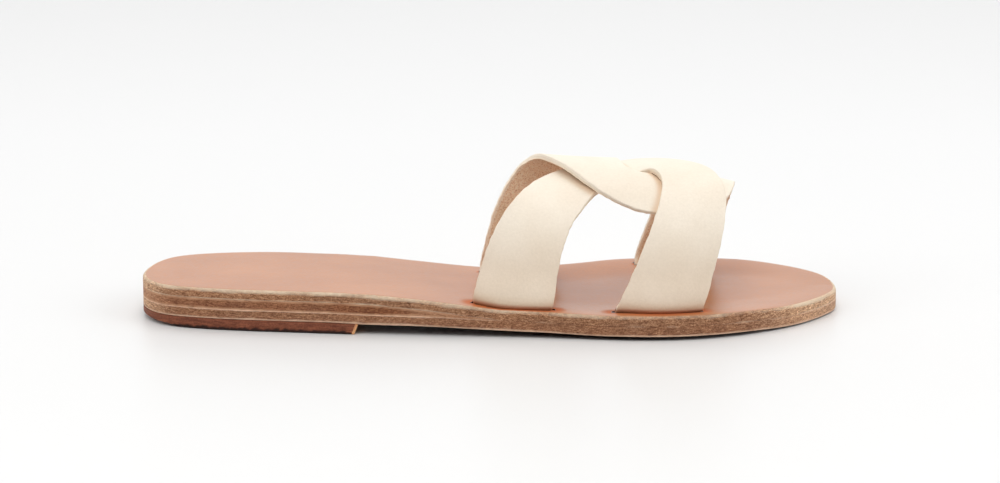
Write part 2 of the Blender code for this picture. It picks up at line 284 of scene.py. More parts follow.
# Straps from slot to slot. Girth is the share of the way from the crest to the slot. Lift is plus over the
# other strap and minus under it.
# Columns: row, inner along, inner girth, inner lift, outer along, outer girth, outer lift
LATERAL_STRAP = [
    ("rear slot", 147.0, -1.00, 0.0, 119.2, -1.00, 0.0),
    ("rear leg low", 144.8, -0.78, 0.0, 117.9, -0.76, 0.0),
    ("rear leg", 144.6, -0.60, -0.1, 118.9, -0.60, -0.1),
    ("rear leg high", 146.4, -0.48, -0.5, 121.5, -0.45, -0.5),
    ("rear shoulder", 151.0, -0.32, -1.2, 127.2, -0.27, -2.0),
    ("rear crossing", 157.2, -0.21, -1.4, 134.4, -0.105, -3.0),
    ("turn in", 162.6, -0.15, -1.2, 142.2, 0.05, -2.5),
    ("turn corner", 166.0, -0.13, -0.1, 158.0, 0.165, 0.1),
    ("turn out", 169.4, -0.135, 1.0, 165.4, 0.16, 0.8),
    ("front crossing", 172.3, -0.19, 1.05, 180.0, 0.04, 1.05),
    ("front shoulder", 174.1, -0.29, 1.1, 190.0, -0.11, 1.1),
    ("front leg high", 174.2, -0.41, 1.0, 196.6, -0.31, 1.0),
    ("front leg", 173.4, -0.57, 0.6, 199.0, -0.54, 0.6),
    ("front leg low", 171.5, -0.78, 0.1, 199.8, -0.78, 0.1),
    ("front slot", 169.2, -1.00, 0.0, 199.4, -1.00, 0.0),
]
MEDIAL_STRAP = [
    ("front slot", 178.6, 1.00, 0.0, 206.0, 1.00, 0.0),
    ("front leg low", 178.2, 0.80, 0.0, 206.0, 0.78, -0.3),
    ("front leg", 178.8, 0.58, -0.1, 204.8, 0.55, -2.6),
    ("front leg high", 179.0, 0.36, -0.5, 202.8, 0.34, -5.6),
    ("front shoulder", 177.6, 0.17, -1.05, 200.2, 0.14, -8.6),
    ("front crossing", 174.2, 0.01, -1.2, 197.2, -0.05, -10.8),
    ("turn in", 169.6, -0.10, -1.2, 192.2, -0.24, -7.6),
    ("turn corner", 166.0, -0.15, 0.0, 183.0, -0.43, -2.2),
    ("turn out", 162.6, -0.14, 1.0, 168.0, -0.44, -0.3),
    ("rear crossing", 159.8, -0.09, 0.9, 151.5, -0.335, 1.5),
    ("rear shoulder", 158.2, 0.00, 1.0, 140.0, -0.195, 1.9),
    ("rear leg high", 156.8, 0.12, 1.0, 131.0, -0.01, 1.05),
    ("rear leg bend", 152.8, 0.30, 0.7, 123.0, 0.20, 1.0),
    ("rear leg", 149.8, 0.52, 0.45, 119.6, 0.48, 0.5),
    ("rear leg low", 148.4, 0.77, 0.1, 119.4, 0.74, 0.1),
    ("rear slot", 148.4, 1.00, 0.0, 121.0, 1.00, 0.0),
]

# Screen colours, 0 to 255. Lists go from the dark parts of a texture to the light ones.
FOOTBED_TONES = [(170, 109, 67), (184, 121, 77)]
SLOT_SHADE_TONE = (186, 92, 38)
INSOLE_SIDE_TONES = [(90, 53, 33), (149, 104, 74), (207, 160, 122)]
INSOLE_LINE = (216, 196, 170)
WEDGE_SIDE_TONES = [(92, 53, 33), (137, 88, 60), (180, 127, 91)]
WEDGE_SIDE_LINE = (194, 148, 114)
OUTSOLE_SIDE_TONES = [(92, 56, 37), (142, 97, 69), (194, 147, 111)]
OUTSOLE_LINE = (236, 200, 172)
UNDERSIDE_SHADE_TONES = [(62, 33, 22), (88, 54, 39)]
SLOT_WALL_SHADE_TONES = [(58, 26, 15), (88, 44, 27)]
RUBBER_TONES = [(98, 51, 34), (129, 74, 52), (158, 95, 69)]
RIM_TONE = (44, 22, 14)
FRESH_TONES = [(186, 122, 80), (236, 182, 130)]
GRAIN_TONES = [(229, 216, 198), (236, 225, 209)]
UNDER_STRAP_SHADE_TONE = (206, 160, 112)
SUEDE_TONES = [(208, 166, 126), (255, 228, 194), (255, 246, 228)]
HEM_TONE = (255, 246, 228)

# Colours of the raw edge from the grain face through its middle to the suede face
CUT_TONES = [(246, 236, 218), (238, 224, 204), (255, 238, 214)]

# Tints: factors for red, green and blue
PLAIN = (1.0, 1.0, 1.0)
FOOTBED_MOTTLE = [(0.86, 0.84, 0.82), (1.06, 1.06, 1.06)]
SIDE_DRIFT = [(0.88, 0.88, 0.9), (1.1, 1.08, 1.05)]
GRAIN_MOTTLE = [(0.955, 0.95, 0.94), (1.02, 1.02, 1.02)]
SUEDE_MOTTLE = [(0.93, 0.92, 0.9), (1.05, 1.05, 1.05)]
# Pale tint: painted light at the toe and the heel, and the wedge's paler skived tip
PALE_TINT = (1.75, 2.2, 2.55)
DUSK_TINT = (0.84, 0.74, 0.62)
LOW_SHADE_TINTS = [PLAIN, (0.93, 0.875, 0.83), (0.86, 0.77, 0.68), (0.5, 0.21, 0.1)]
CUT_FOOT_SHADE = (0.3, 0.14, 0.08)
SUEDE_SHEEN = (1.0, 0.81, 0.64)

# Spans that most values of the noises lie in
USUAL = (0.3, 0.7)
STREAKS = (0.35, 0.65)

# Floor
FLOOR_HALF = 4.0
FLOOR_DROP = 0.0001
FLOOR_FADE = (-0.1, 0.3)
# Floor colours from near the camera to far from it: the darker near end is painted shade
FLOOR_COLOURS = [(0.72, 0.718, 0.712), (0.762, 0.762, 0.761)]

# Sky, bright behind the sandal and dim low in front of it: strengths, and where each part fades out
SKY_EVEN = 0.55
SKY_BEHIND = 0.75
SKY_BEFORE = 0.52
BEHIND_FADE = (0.15, 0.75)
BEHIND_TOP = (0.3, 0.75)
BEFORE_FADE = (-0.3, 0.3)
BEFORE_TOP = (0.25, 0.7)

# Softboxes: name, place, target, size, watts
SOFTBOXES = [
    ("softbox_top", (0.0, 0.6, 1.4), (0.0, 0.0, 0.0), 0.9, 6.2),
    ("softbox_front", (0.0, -0.8, 1.3), (0.0, 0.0, 0.02), 0.9, 6.8),
    ("softbox_left", (-1.0, -0.6, 0.8), (0.0, 0.0, 0.03), 0.8, 6.0),
    ("softbox_right", (1.15, -0.45, 0.65), (0.0, 0.0, 0.03), 1.0, 7.5),
]

# Camera: its place and aim in the sandal's millimetres, its lens, and its range in metres
EYE = (128.4, -1360.73, 355.5)
AIM = (128.4, -0.03, 26.3)
SENSOR_WIDTH = 36.0
LENS = 139.1
CLIP_START, CLIP_END = 0.05, 20.0

# Curves and heights


def steady_curve(table, column, along):
    """Values of a table's column along the shoe, smooth and without overshoot."""
    xs = np.array([row[0] for row in table])
    ys = np.array([row[column] for row in table])
    slopes = np.diff(ys) / np.diff(xs)
    before, after = slopes[:-1], slopes[1:]
    same_way = before * after > 0
    total = np.where(same_way, before + after, 1.0)
    inner = np.where(same_way, 2 * before * after / total, 0.0)
    tangents = np.concatenate([slopes[:1], inner, slopes[-1:]])
    along = np.clip(along, xs[0], xs[-1])
    i = np.clip(np.searchsorted(xs, along, side="right") - 1, 0, len(xs) - 2)
    width = xs[i + 1] - xs[i]
    t = (along - xs[i]) / width
    start = (1 + 2 * t) * (1 - t) ** 2 * ys[i] + t * (1 - t) ** 2 * width * tangents[i]
    finish = t * t * (3 - 2 * t) * ys[i + 1] + t * t * (t - 1) * width * tangents[i + 1]
    return start + finish


def ease(value, low, high):
    """0 below low, 1 above high and a smooth step between."""
    t = np.clip((value - low) / (high - low), 0.0, 1.0)
    return t * t * (3 - 2 * t)


def through(p0, p1, p2, p3, t):
    """Point of the smooth curve through four points, between the middle two."""
    square = (2 * p0 - 5 * p1 + 4 * p2 - p3) * t * t
    cube = (3 * p1 - p0 - 3 * p2 + p3) * t ** 3
    return 0.5 * (2 * p1 + (p2 - p0) * t + square + cube)


def closed_outline(rows):
    """Both sides of the sole as curves from the back of the heel to the toe."""
    points = [np.array(row[1:]) for row in rows]
    count = len(points)
    curve = []
    for i in range(count):
        four = [points[(i + k) % count] for k in (-1, 0, 1, 2)]
        curve += [through(*four, step / OUTLINE_STEPS) for step in range(OUTLINE_STEPS)]
    curve = np.array(curve)
    curve = np.roll(curve, -int(curve[:, 0].argmin()), axis=0)
    tip = int(curve[:, 0].argmax())
    lateral = curve[: tip + 1]
    medial = np.vstack([curve[tip:], curve[:1]])[::-1]
    return {LATERAL: lateral, MEDIAL: medial}


SIDES = closed_outline(OUTLINE)
HEEL_END = SIDES[LATERAL][0]
TOE_END = SIDES[LATERAL][-1]
LENGTH = TOE_END[0] - HEEL_END[0]
MIDDLE = np.array([
    (HEEL_END[0] + TOE_END[0]) / 2,
    (SIDES[LATERAL][:, 1].min() + SIDES[MEDIAL][:, 1].max()) / 2,
    0.0,
])


def edge(along, side):
    """Across position of the sole's edge."""
    return np.interp(along, SIDES[side][:, 0], SIDES[side][:, 1])


def underside(along, across):
    """Height of the outsole's lower face: flat in the middle and turned up a little at the edge."""
    from_edge = np.minimum(across - edge(along, LATERAL), edge(along, MEDIAL) - across)
    turned_up = 1 - ease(from_edge, 0.0, EDGE_RISE_WIDTH)
    return steady_curve(UNDERSIDE, 1, along) + steady_curve(UNDERSIDE, 2, along) * turned_up


def wedge_height(along):
    share = (WEDGE_RUN_OUT - along) / (WEDGE_RUN_OUT - WEDGE_FULL_TO)
    return WEDGE_THICK * np.clip(share, 0.0, 1.0)


def outsole_top(along, across):
    return underside(along, across) + OUTSOLE_THICK


def insole_bottom(along, across):
    return outsole_top(along, across) + wedge_height(along)


def insole_top(along, across):
    return insole_bottom(along, across) + INSOLE_THICK


def lifted(height, amount):
    return lambda along, across: height(along, across) + amount


def pad_bottom(along, across):
    """Height of the heel pad's lower face: on the floor, and worn up at the back of the heel."""
    return BACK_WEAR * (1 - ease(along, *BACK_WEAR_RUN))


def slot_across(along, side):
    """Across position of the slots' middle line."""
    return edge(along, side) - side * steady_curve(SLOT_INSET, 1 if side == LATERAL else 2, along)


def slot_ends():
    """Side, rear end and front end of each of the four slots."""
    for table in (LATERAL_STRAP, MEDIAL_STRAP):
        for row in (table[0], table[-1]):
            side = LATERAL if row[2] < 0 else MEDIAL
            yield side, min(row[1], row[4]), max(row[1], row[4])


def ripple(points, size, seed):
    """Smooth noise between -1 and 1 at each point, with features of about one size in millimetres."""
    shift = Vector((seed * 17.3, seed * 5.1, seed * 9.7))
    return np.array([noise.noise(Vector(point) / size + shift) for point in points])


def unit(vectors):
    return vectors / np.linalg.norm(vectors, axis=-1, keepdims=True)


# Materials


def linear(red, green, blue):
    """Screen colour as a linear one."""
    shares = [value / 255 for value in (red, green, blue)]
    return tuple(s / 12.92 if s <= 0.04045 else ((s + 0.055) / 1.055) ** 2.4 for s in shares)


class Nodes:
    """Short ways to add nodes to a node tree."""

    def __init__(self, tree):
        self.tree = tree

    def feed(self, socket, value):
        """Links an output to a socket, or sets the socket's own value."""
        if isinstance(value, bpy.types.NodeSocket):
            self.tree.links.new(value, socket)
        elif isinstance(value, tuple) and len(value) == 3 and socket.type == "RGBA":
            socket.default_value = (*value, 1.0)
        else:
            socket.default_value = value

    def add(self, kind, *values, **settings):
        """New node with settings, fed with outputs or values in the order of its inputs."""
        made = self.tree.nodes.new("ShaderNode" + kind)
        for key, value in settings.items():
            setattr(made, key, value)
        for socket, value in zip(made.inputs, values):
            self.feed(socket, value)
        return made

    def math(self, operation, one, two):
        return self.add("Math", one, two, operation=operation).outputs[0]

    def times(self, one, two):
        return self.math("MULTIPLY", one, two)

    def plus(self, one, two):
        return self.math("ADD", one, two)

    def spans(self, value, given, wanted, way="LINEAR"):
        """Value mapped from one span to another, held at its ends."""
        return self.add("MapRange", value, *given, *wanted, interpolation_type=way).outputs[0]


class Surface(Nodes):
    """A material with a principled shader, and with textures sized in millimetres."""

    def __init__(self, name, specular, roughness=0.5):
        self.material = bpy.data.materials.new(name)
        self.material.use_nodes = True
        super().__init__(self.material.node_tree)
        self.shader = self.tree.nodes["Principled BSDF"]
        self.set("Roughness", roughness)
        self.set("Specular IOR Level", specular)
        self.place = self.add("TexCoord").outputs["Object"]

    def set(self, name, value):
        self.feed(self.shader.inputs[name], value)

    def texture(self, kind, per_mm, **inputs):
        """Texture with a factor for the place in millimetres, one for all axes or one for each."""
        factors = per_mm if isinstance(per_mm, tuple) else (per_mm,) * 3
        per_metre = tuple(factor / MM for factor in factors)
        place = self.add("VectorMath", self.place, per_metre, operation="MULTIPLY").outputs[0]
        made = self.add(kind, place)
        for name, value in inputs.items():
            self.feed(made.inputs[name], value)
        return made.outputs

    def clouds(self, per_mm, detail=3.0, roughness=0.55, distortion=0.0):
        inputs = {"Scale": 1.0, "Detail": detail, "Roughness": roughness, "Distortion": distortion}
        return self.texture("TexNoise", per_mm, **inputs)[0]

    def cells(self, per_mm):
        return self.texture("TexVoronoi", per_mm, Scale=1.0)["Distance"]

    def attribute(self, name):
        return self.add("Attribute", attribute_name=name).outputs["Fac"]

    def ramp(self, value, places, colours):
        """Linear colours or tints at given places, blended between them."""
        made = self.add("ValToRGB", value)
        elements = made.color_ramp.elements
        while len(elements) < len(places):
            elements.new(1.0)
        for element, place, colour in zip(elements, places, colours):
            element.position = place
            element.color = (*colour, 1.0)
        return made.outputs["Color"]

    def tones(self, value, places, colours):
        """Screen colours at given places, blended between them."""
        return self.ramp(value, places, [linear(*colour) for colour in colours])

    def blend(self, one, two, share):
        """Share of one value and the rest of another."""
        return self.plus(self.times(one, share), self.times(two, 1 - share))

    def mix(self, share, one, two, blend="MIX"):
        made = self.add("Mix", data_type="RGBA", blend_type=blend)
        self.feed(made.inputs[0], share)
        self.feed(made.inputs[6], one)
        self.feed(made.inputs[7], two)
        return made.outputs[2]

    def tinted(self, colour, tint):
        return self.mix(1.0, colour, tint, "MULTIPLY")

    def bump(self, height, depth_mm):
        made = self.add("Bump")
        self.feed(made.inputs["Height"], height)
        self.feed(made.inputs["Distance"], depth_mm * MM)
        self.feed(made.inputs["Strength"], 1.0)
        self.set("Normal", made.outputs[0])


def footbed_leather():
    """Smooth tan leather with a slight gloss, with painted shade and light at the straps and painted warm
    shade round the slots, where it is also rougher.
    """
    look = Surface("footbed_leather", specular=0.5)
    look.set("Coat Weight", 0.1)
    look.set("Coat Roughness", 0.3)
    broad = look.clouds((0.03, 0.05, 0.05), detail=4.0)
    fine = look.clouds(0.9, detail=5.0, roughness=0.65)
    pores = look.cells(1.6)
    colour = look.tones(broad, USUAL, FOOTBED_TONES)
    colour = look.tinted(colour, look.ramp(fine, USUAL, FOOTBED_MOTTLE))
    # Painted shade below the crossing and painted light at its far side
    colour = look.tinted(colour, look.attribute("tint"))
    # Painted warm shade round the slots, where the leather is also rougher
    slot_shade = look.attribute("slot_shade")
    look.set("Base Color", look.mix(look.times(slot_shade, SLOT_SHADE_STRENGTH), colour, linear(*SLOT_SHADE_TONE)))
    gloss = look.spans(fine, USUAL, (0.28, 0.4))
    look.set("Roughness", look.plus(gloss, look.times(slot_shade, SLOT_SHADE_DULL)))
    look.bump(look.blend(fine, pores, 0.6), depth_mm=0.06)
    return look.material


def edge_leather(name, tones, line, line_least):
    """Cut side of a sole layer: fibres along the sole, and a pale line where it meets the next layer. The
    insole's top line is partly a painted highlight, and the sides get painted light at the toe and the heel.
    """
    look = Surface(name, specular=0.25)
    fibre = look.clouds((0.55, 0.55, 2.4), detail=6.0, roughness=0.72)
    specks = look.clouds((1.9, 1.9, 3.2), detail=4.0, roughness=0.75)
    drift = look.clouds((0.06, 0.06, 0.2))
    mixed = look.blend(fibre, specks, 0.5)
    colour = look.tones(mixed, (0.4, 0.5, 0.61), tones)
    colour = look.tinted(colour, look.ramp(drift, USUAL, SIDE_DRIFT))
    # Painted light at the toe and at the back of the heel
    tint = look.ramp(look.attribute("tone"), (0.0, 0.5, 1.0), [PALE_TINT, PLAIN, DUSK_TINT])
    colour = look.tinted(colour, tint)
    gaps = look.clouds((0.35, 0.35, 1.5), detail=5.0, roughness=0.7)
    broken = look.spans(gaps, (0.32, 0.6), (line_least, 1.0))
    wobble = look.spans(look.clouds((0.09, 0.09, 0.3)), USUAL, (-0.28, 0.28))
    share = look.spans(look.plus(look.attribute("seam_and_highlight"), wobble), (0.22, 1.0), (0.0, 1.0))
    look.set("Base Color", look.mix(look.times(share, broken), colour, linear(*line)))
    look.set("Roughness", look.spans(mixed, STREAKS, (0.72, 0.55)))
    look.bump(mixed, depth_mm=0.25)
    return look.material


def sole_underside_shade():
    """Underside of the outsole, scuffed along the sole and made dark as painted shade for the deep shadow in
    the gap under it.
    """
    look = Surface("sole_underside_shade", specular=0.2, roughness=0.75)
    scuff = look.clouds((0.12, 0.5, 0.5), detail=5.0, roughness=0.7)
    look.set("Base Color", look.tones(scuff, STREAKS, UNDERSIDE_SHADE_TONES))
    look.bump(scuff, depth_mm=0.2)
    return look.material


def slot_wall_shade():
    """Wall of the slots, darker than the insole's cut side as painted shade in the recess."""
    look = Surface("slot_wall_shade", specular=0.2, roughness=0.8)
    fibre = look.clouds((0.6, 0.6, 2.0), detail=5.0, roughness=0.7)
    look.set("Base Color", look.tones(fibre, STREAKS, SLOT_WALL_SHADE_TONES))
    look.bump(fibre, depth_mm=0.2)
    return look.material


def heel_rubber():
    """Reddish sheet rubber with a dark notched rim at its foot and a frayed band of fresh cut."""
    look = Surface("heel_rubber", specular=0.25)
    streak = look.clouds((0.25, 0.25, 1.6), detail=5.0, roughness=0.7)
    specks = look.clouds(2.2, roughness=0.7)
    mixed = look.blend(streak, specks, 0.6)
    colour = look.tones(mixed, (0.4, 0.52, 0.64), RUBBER_TONES)
    colour = look.mix(look.attribute("rim"), colour, linear(*RIM_TONE))
    saw = look.clouds((0.6, 1.4, 0.5), detail=5.0, roughness=0.7)
    fresh = look.tones(saw, STREAKS, FRESH_TONES)
    frayed = look.plus(look.attribute("fresh"), look.spans(specks, USUAL, (-0.12, 0.12)))
    look.set("Base Color", look.mix(look.spans(frayed, (0.95, 1.05), (0.0, 1.0)), colour, fresh))
    look.set("Roughness", look.spans(specks, USUAL, (0.5, 0.68)))
    look.bump(mixed, depth_mm=0.15)
    return look.material


def strap_grain():
    """Cream grain side of a strap, with painted shade browner towards its low ends and painted warm shade
    where the other strap lies over it.
    """
    look = Surface("strap_grain", specular=0.4)
    broad = look.clouds(0.05, detail=4.0)
    fine = look.clouds(1.1, detail=5.0, roughness=0.6)
    pebble = look.cells(1.25)
    colour = look.tones(broad, USUAL, GRAIN_TONES)
    colour = look.tinted(colour, look.ramp(fine, USUAL, GRAIN_MOTTLE))
    # Painted shade: browner and darker towards the low ends of the strap, down to the slot
    colour = look.tinted(colour, look.ramp(look.attribute("low"), (0.0, 0.55, 0.8, 1.0), LOW_SHADE_TINTS))
    # Painted warm shade where the other strap lies over this one
    rub = look.times(look.attribute("rub"), UNDER_STRAP_SHADE_STRENGTH)
    look.set("Base Color", look.mix(rub, colour, linear(*UNDER_STRAP_SHADE_TONE)))
    look.set("Roughness", look.spans(fine, USUAL, (0.46, 0.58)))
    look.bump(look.blend(fine, pebble, 0.5), depth_mm=0.05)
    return look.material


def strap_suede():
    """Napped underside of a strap, pale along its hem."""
    look = Surface("strap_suede", specular=0.2, roughness=0.95)
    nap = look.clouds(1.8, detail=6.0, roughness=0.75, distortion=0.6)
    broad = look.clouds(0.08)
    colour = look.tones(nap, (0.37, 0.5, 0.63), SUEDE_TONES)
    colour = look.tinted(colour, look.ramp(broad, USUAL, SUEDE_MOTTLE))
    hem = look.plus(look.attribute("depth"), look.spans(nap, USUAL, (-0.3, 0.3)))
    look.set("Base Color", look.mix(look.spans(hem, (0.4, 0.9), (0.0, 0.9)), colour, linear(*HEM_TONE)))
    look.set("Sheen Weight", 1.0)
    look.set("Sheen Tint", SUEDE_SHEEN)
    look.bump(nap, depth_mm=0.35)
    return look.material


def strap_cut():
    """Raw edge of a strap: pale fibres, a little browner in its middle, with painted shade dark towards the
    slot.
    """
    look = Surface("strap_cut", specular=0.3, roughness=0.85)
    fibre = look.clouds(1.6, detail=5.0, roughness=0.75)
    depth = look.plus(look.attribute("depth"), look.spans(fibre, USUAL, (-0.22, 0.22)))
    colour = look.tones(depth, (0.0, 0.5, 1.0), CUT_TONES)
    # Painted shade, dark at the foot of the raw edge towards the slot
    foot = look.ramp(look.attribute("low"), (0.93, 1.0), [PLAIN, CUT_FOOT_SHADE])
    look.set("Base Color", look.tinted(colour, foot))
    look.bump(fibre, depth_mm=0.25)
    return look.material


def make_piece(name, points, faces, slots, materials, node, attributes):
    """Mesh piece from millimetres. It rides with the shoe and stands for a CAD node."""
    mesh = bpy.data.meshes.new(name)
    metres = (points - MIDDLE) * MM
    mesh.from_pydata(metres.tolist(), [], faces)
    for material in materials:
        mesh.materials.append(material)
    mesh.polygons.foreach_set("material_index", np.array(slots, dtype=np.int32))
    for key, values in attributes.items():
        layer = mesh.attributes.new(key, "FLOAT", "POINT")
        layer.data.foreach_set("value", np.asarray(values, dtype=np.float32))
    mesh.shade_smooth()
    mesh.set_sharp_from_angle(angle=CREASE)
    piece = bpy.data.objects.new(name, mesh)
    bpy.context.scene.collection.objects.link(piece)
    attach(piece, "root")
    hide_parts(node)
    return piece


# Sole layers


def plan_ring(front, columns):
    """Ring of plan points round a layer, and its count of stations. A front cut has points of its own."""
    steps = np.arange(1, STATIONS)
    along = HEEL_END[0] + LENGTH * (1 - np.cos(np.pi * steps / STATIONS)) / 2
    if front is not None:
        along = np.append(along[along < front - SHORTEST_STATION], front)
    lateral = np.column_stack([along, edge(along, LATERAL)])
    medial = np.column_stack([along, edge(along, MEDIAL)])
    if front is None:
        end = TOE_END[None]
    else:
        shares = np.linspace(0, 1, columns + 1)[1:-1, None]
        end = lateral[-1] + (medial[-1] - lateral[-1]) * shares
    return np.vstack([HEEL_END[None], lateral, end, medial[::-1]]), len(along)


def inward(ring):
    run = np.roll(ring, -1, axis=0) - np.roll(ring, 1, axis=0)
    return unit(np.column_stack([-run[:, 1], run[:, 0]]))


def rounding(radius):
    """Inset and drop of the points round a rim, from the face to the side."""
    turns = [math.pi / 2 * k / ROUND_STEPS for k in range(ROUND_STEPS + 1)]
    return [(radius * (1 - math.sin(turn)), radius * (1 - math.cos(turn))) for turn in turns]


def wall_rows(thick, top_round, foot_round):
    """Rows down a layer's side: inset, and the share of the thickness from top to bottom."""
    rows = [(inset, drop / thick) for inset, drop in rounding(top_round)]
    upper, lower = top_round / thick, 1 - foot_round / thick
    rows += [(0.0, upper + (lower - upper) * k / WALL_STEPS) for k in range(1, WALL_STEPS)]
    return rows + [(inset, 1 - drop / thick) for inset, drop in reversed(rounding(foot_round))]


def layer_wall(ring, rows, high, low, chafe, seed):
    """Points of a layer's side, row by row. All rows but the first and the last are chafed."""
    normal = inward(ring)
    wall = []
    for k, (inset, share) in enumerate(rows):
        height = high + (low - high) * share
        depth = np.full(len(ring), inset)
        if 0 < k < len(rows) - 1:
            spots = np.column_stack([ring, height * CHAFE_FINER_DOWN])
            for extra, size in enumerate(CHAFE_SIZES):
                depth += chafe * ripple(spots, size, seed + extra)
        wall.append(np.column_stack([ring + normal * depth[:, None], height]))
    return np.vstack(wall)


def wall_faces(row_count, size):
    faces = []
    for k in range(row_count - 1):
        upper, lower = k * size, (k + 1) * size
        for i in range(size):
            j = (i + 1) % size
            faces.append((lower + i, lower + j, upper + j, upper + i))
    return faces


def face_grid(border, first, start, count, columns, cut_front):
    """Plan points inside a layer's face, and the face's grid of point numbers from the heel to the front."""
    lateral, medial = border[1: count + 1], border[::-1][:count]
    shares = np.linspace(0, 1, columns + 1)[1:-1]
    inner = lateral[:, None] + (medial - lateral)[:, None] * shares[None, :, None]
    firsts = [start + s * (columns - 1) for s in range(count)]
    if cut_front:
        inner = inner[:-1]
        firsts[-1] = first + count + 1
    last = first + len(border) - 1
    grid = [[first + 1 + s, *range(begin, begin + columns - 1), last - s] for s, begin in enumerate(firsts)]
    return inner.reshape(-1, 2), grid


def face_cells(grid, heel, toe):
    """Cells between the rows of a face's grid, with a fan at the heel and, where there is one, at the toe."""
    columns = range(len(grid[0]) - 1)
    cells = []
    for one, two in zip(grid, grid[1:]):
        cells += [(one[j], two[j], two[j + 1], one[j + 1]) for j in columns]
    cells += [(heel, grid[0][j], grid[0][j + 1]) for j in columns]
    if toe is not None:
        cells += [(toe, grid[-1][j + 1], grid[-1][j]) for j in columns]
    return cells


def sole_layer(name, top, bottom, thick, front=None):
    """Points, groups of faces, wall rows and thickness round the ring of one layer."""
    columns, top_round, foot_round, chafe, seed = LAYERS[name]
    ring, count = plan_ring(front, columns)
    size = len(ring)
    rows = wall_rows(thick, top_round, foot_round)
    high, low = top(*ring.T), bottom(*ring.T)
    points = layer_wall(ring, rows, high, low, chafe, seed)
    groups = {"side": wall_faces(len(rows), size)}
    for key, first, surface in (("top", 0, top), ("bottom", (len(rows) - 1) * size, bottom)):
        border = points[first: first + size, :2]
        inner, grid = face_grid(border, first, len(points), count, columns, front is not None)
        points = np.vstack([points, np.column_stack([inner, surface(*inner.T)])])
        toe = first + count + 1 if front is None else None
        cells = face_cells(grid, first, toe)
        groups[key] = cells if key == "top" else [cell[::-1] for cell in cells]
    return points, groups, rows, high - low


def all_faces(groups, side=0, bottom=0):
    """Faces of a layer and the material slot of each. The top has the first slot."""
    faces, slots = [], []
    for key, slot in (("top", 0), ("side", side), ("bottom", bottom)):
        faces += groups[key]
        slots += [slot] * len(groups[key])
    return faces, slots


def pale_line(points, rows, thick, top=0.0, foot=0.0):
    """How far each point lies in a pale line at the top or the foot of its layer's side, 0 to 1."""
    line = np.zeros(len(points))
    size = len(thick)
    for k, (_, share) in enumerate(rows):
        row = line[k * size: (k + 1) * size]
        for from_line, width in ((share * thick, top), ((1 - share) * thick, foot)):
            if width:
                row[:] = np.maximum(row, 1 - ease(from_line, LINE_CORE * width, width))
    return line


def side_tone(along, dusk=0.0):
    """Tone of the sole's side: 0 with painted light at the toe and the back of the heel, 0.5 plain and 1
    dusky.
    """
    pale = np.maximum(ease(along, *TOE_PAINTED_LIGHT), 1 - ease(along, *HEEL_PAINTED_LIGHT))
    return 0.5 - 0.5 * pale + 0.5 * dusk


def near_slots(points):
    """How close each point lies to a strap's slot, for the painted shade round it: 1 at the slot and 0 out of
    its reach.
    """
    share = np.zeros(len(points))
    for side, rear, front in slot_ends():
        along = np.linspace(rear, front, SLOT_STEPS + 1)
        across = slot_across(along, side)
        apart = np.hypot(points[:, :1] - along, points[:, 1:2] - across).min(axis=1)
        reach = SLOT_SHADE_REACH[side]
        share = np.maximum(share, 1 - ease(apart, SLOT_SHADE_CORE * reach, reach))
    return share


def painted_shade_and_light(points):
    """Painted shade and light on the footbed: 1 where it is plain, less below the crossing and more at the
    far side of it.
    """
    apart = np.hypot(*((points[:, :2] - SPOT_MIDDLE) / SPOT_REACH).T)
    dark = SPOT_SHADE_DARK * (1 - ease(apart, 0.0, 1.0))
    stretch = ease(points[:, 0], *FAR_PALE_START) * (1 - ease(points[:, 0], *FAR_PALE_END))
    return 1 - dark + FAR_PAINTED_LIGHT * stretch * ease(points[:, 1], *FAR_PALE_ACROSS)


def make_footbed():
    bottom = lifted(insole_bottom, LAYER_GAP)
    points, groups, rows, thick = sole_layer("footbed", insole_top, bottom, INSOLE_THICK)
    along, across = points[:, 0], points[:, 1]
    far_toe = ease(across, *FAR_TOE_ACROSS) * ease(along, *FAR_TOE_ALONG)
    top_line = pale_line(points, rows, thick, top=FOOTBED_TOP_LINE) * steady_curve(TOP_SHARE, 1, along)
    foot_line = pale_line(points, rows, thick, foot=FOOTBED_FOOT_LINE) * steady_curve(SEAM_SHARE, 1, along)
    # The pale top line is partly a painted highlight; round the slots is painted warm shade, and the tint is
    # painted shade below the crossing and painted light at its far side
    attributes = {
        "seam_and_highlight": np.maximum(top_line * (1 - FAR_TOE_DULL * far_toe), FOOTBED_FOOT_STRENGTH * foot_line),
        "slot_shade": near_slots(points),
        "tint": painted_shade_and_light(points),
        "tone": side_tone(along),
    }
    faces, slots = all_faces(groups, side=1, bottom=1)
    looks = [footbed_leather(), edge_leather("insole_side", INSOLE_SIDE_TONES, INSOLE_LINE, line_least=0.6)]
    return make_piece("footbed", points, faces, slots, looks, "insole", attributes)


def make_wedge():
    bottom = lifted(outsole_top, LAYER_GAP)
    points, groups, rows, thick = sole_layer("wedge", insole_bottom, bottom, WEDGE_THICK, WEDGE_FRONT)
    along = points[:, 0]
    line = pale_line(points, rows, thick, top=WEDGE_LINE, foot=WEDGE_LINE)
    dusk = ease(along, *WEDGE_DUSK) - WEDGE_TIP_PALE * ease(along, *WEDGE_TIP)
    attributes = {"seam_and_highlight": line * steady_curve(SEAM_SHARE, 1, along), "tone": side_tone(along, dusk)}
    faces, slots = all_faces(groups)
    looks = [edge_leather("wedge_side", WEDGE_SIDE_TONES, WEDGE_SIDE_LINE, line_least=0.3)]
    make_piece("sole_wedge", points, faces, slots, looks, "heel_wedge", attributes)


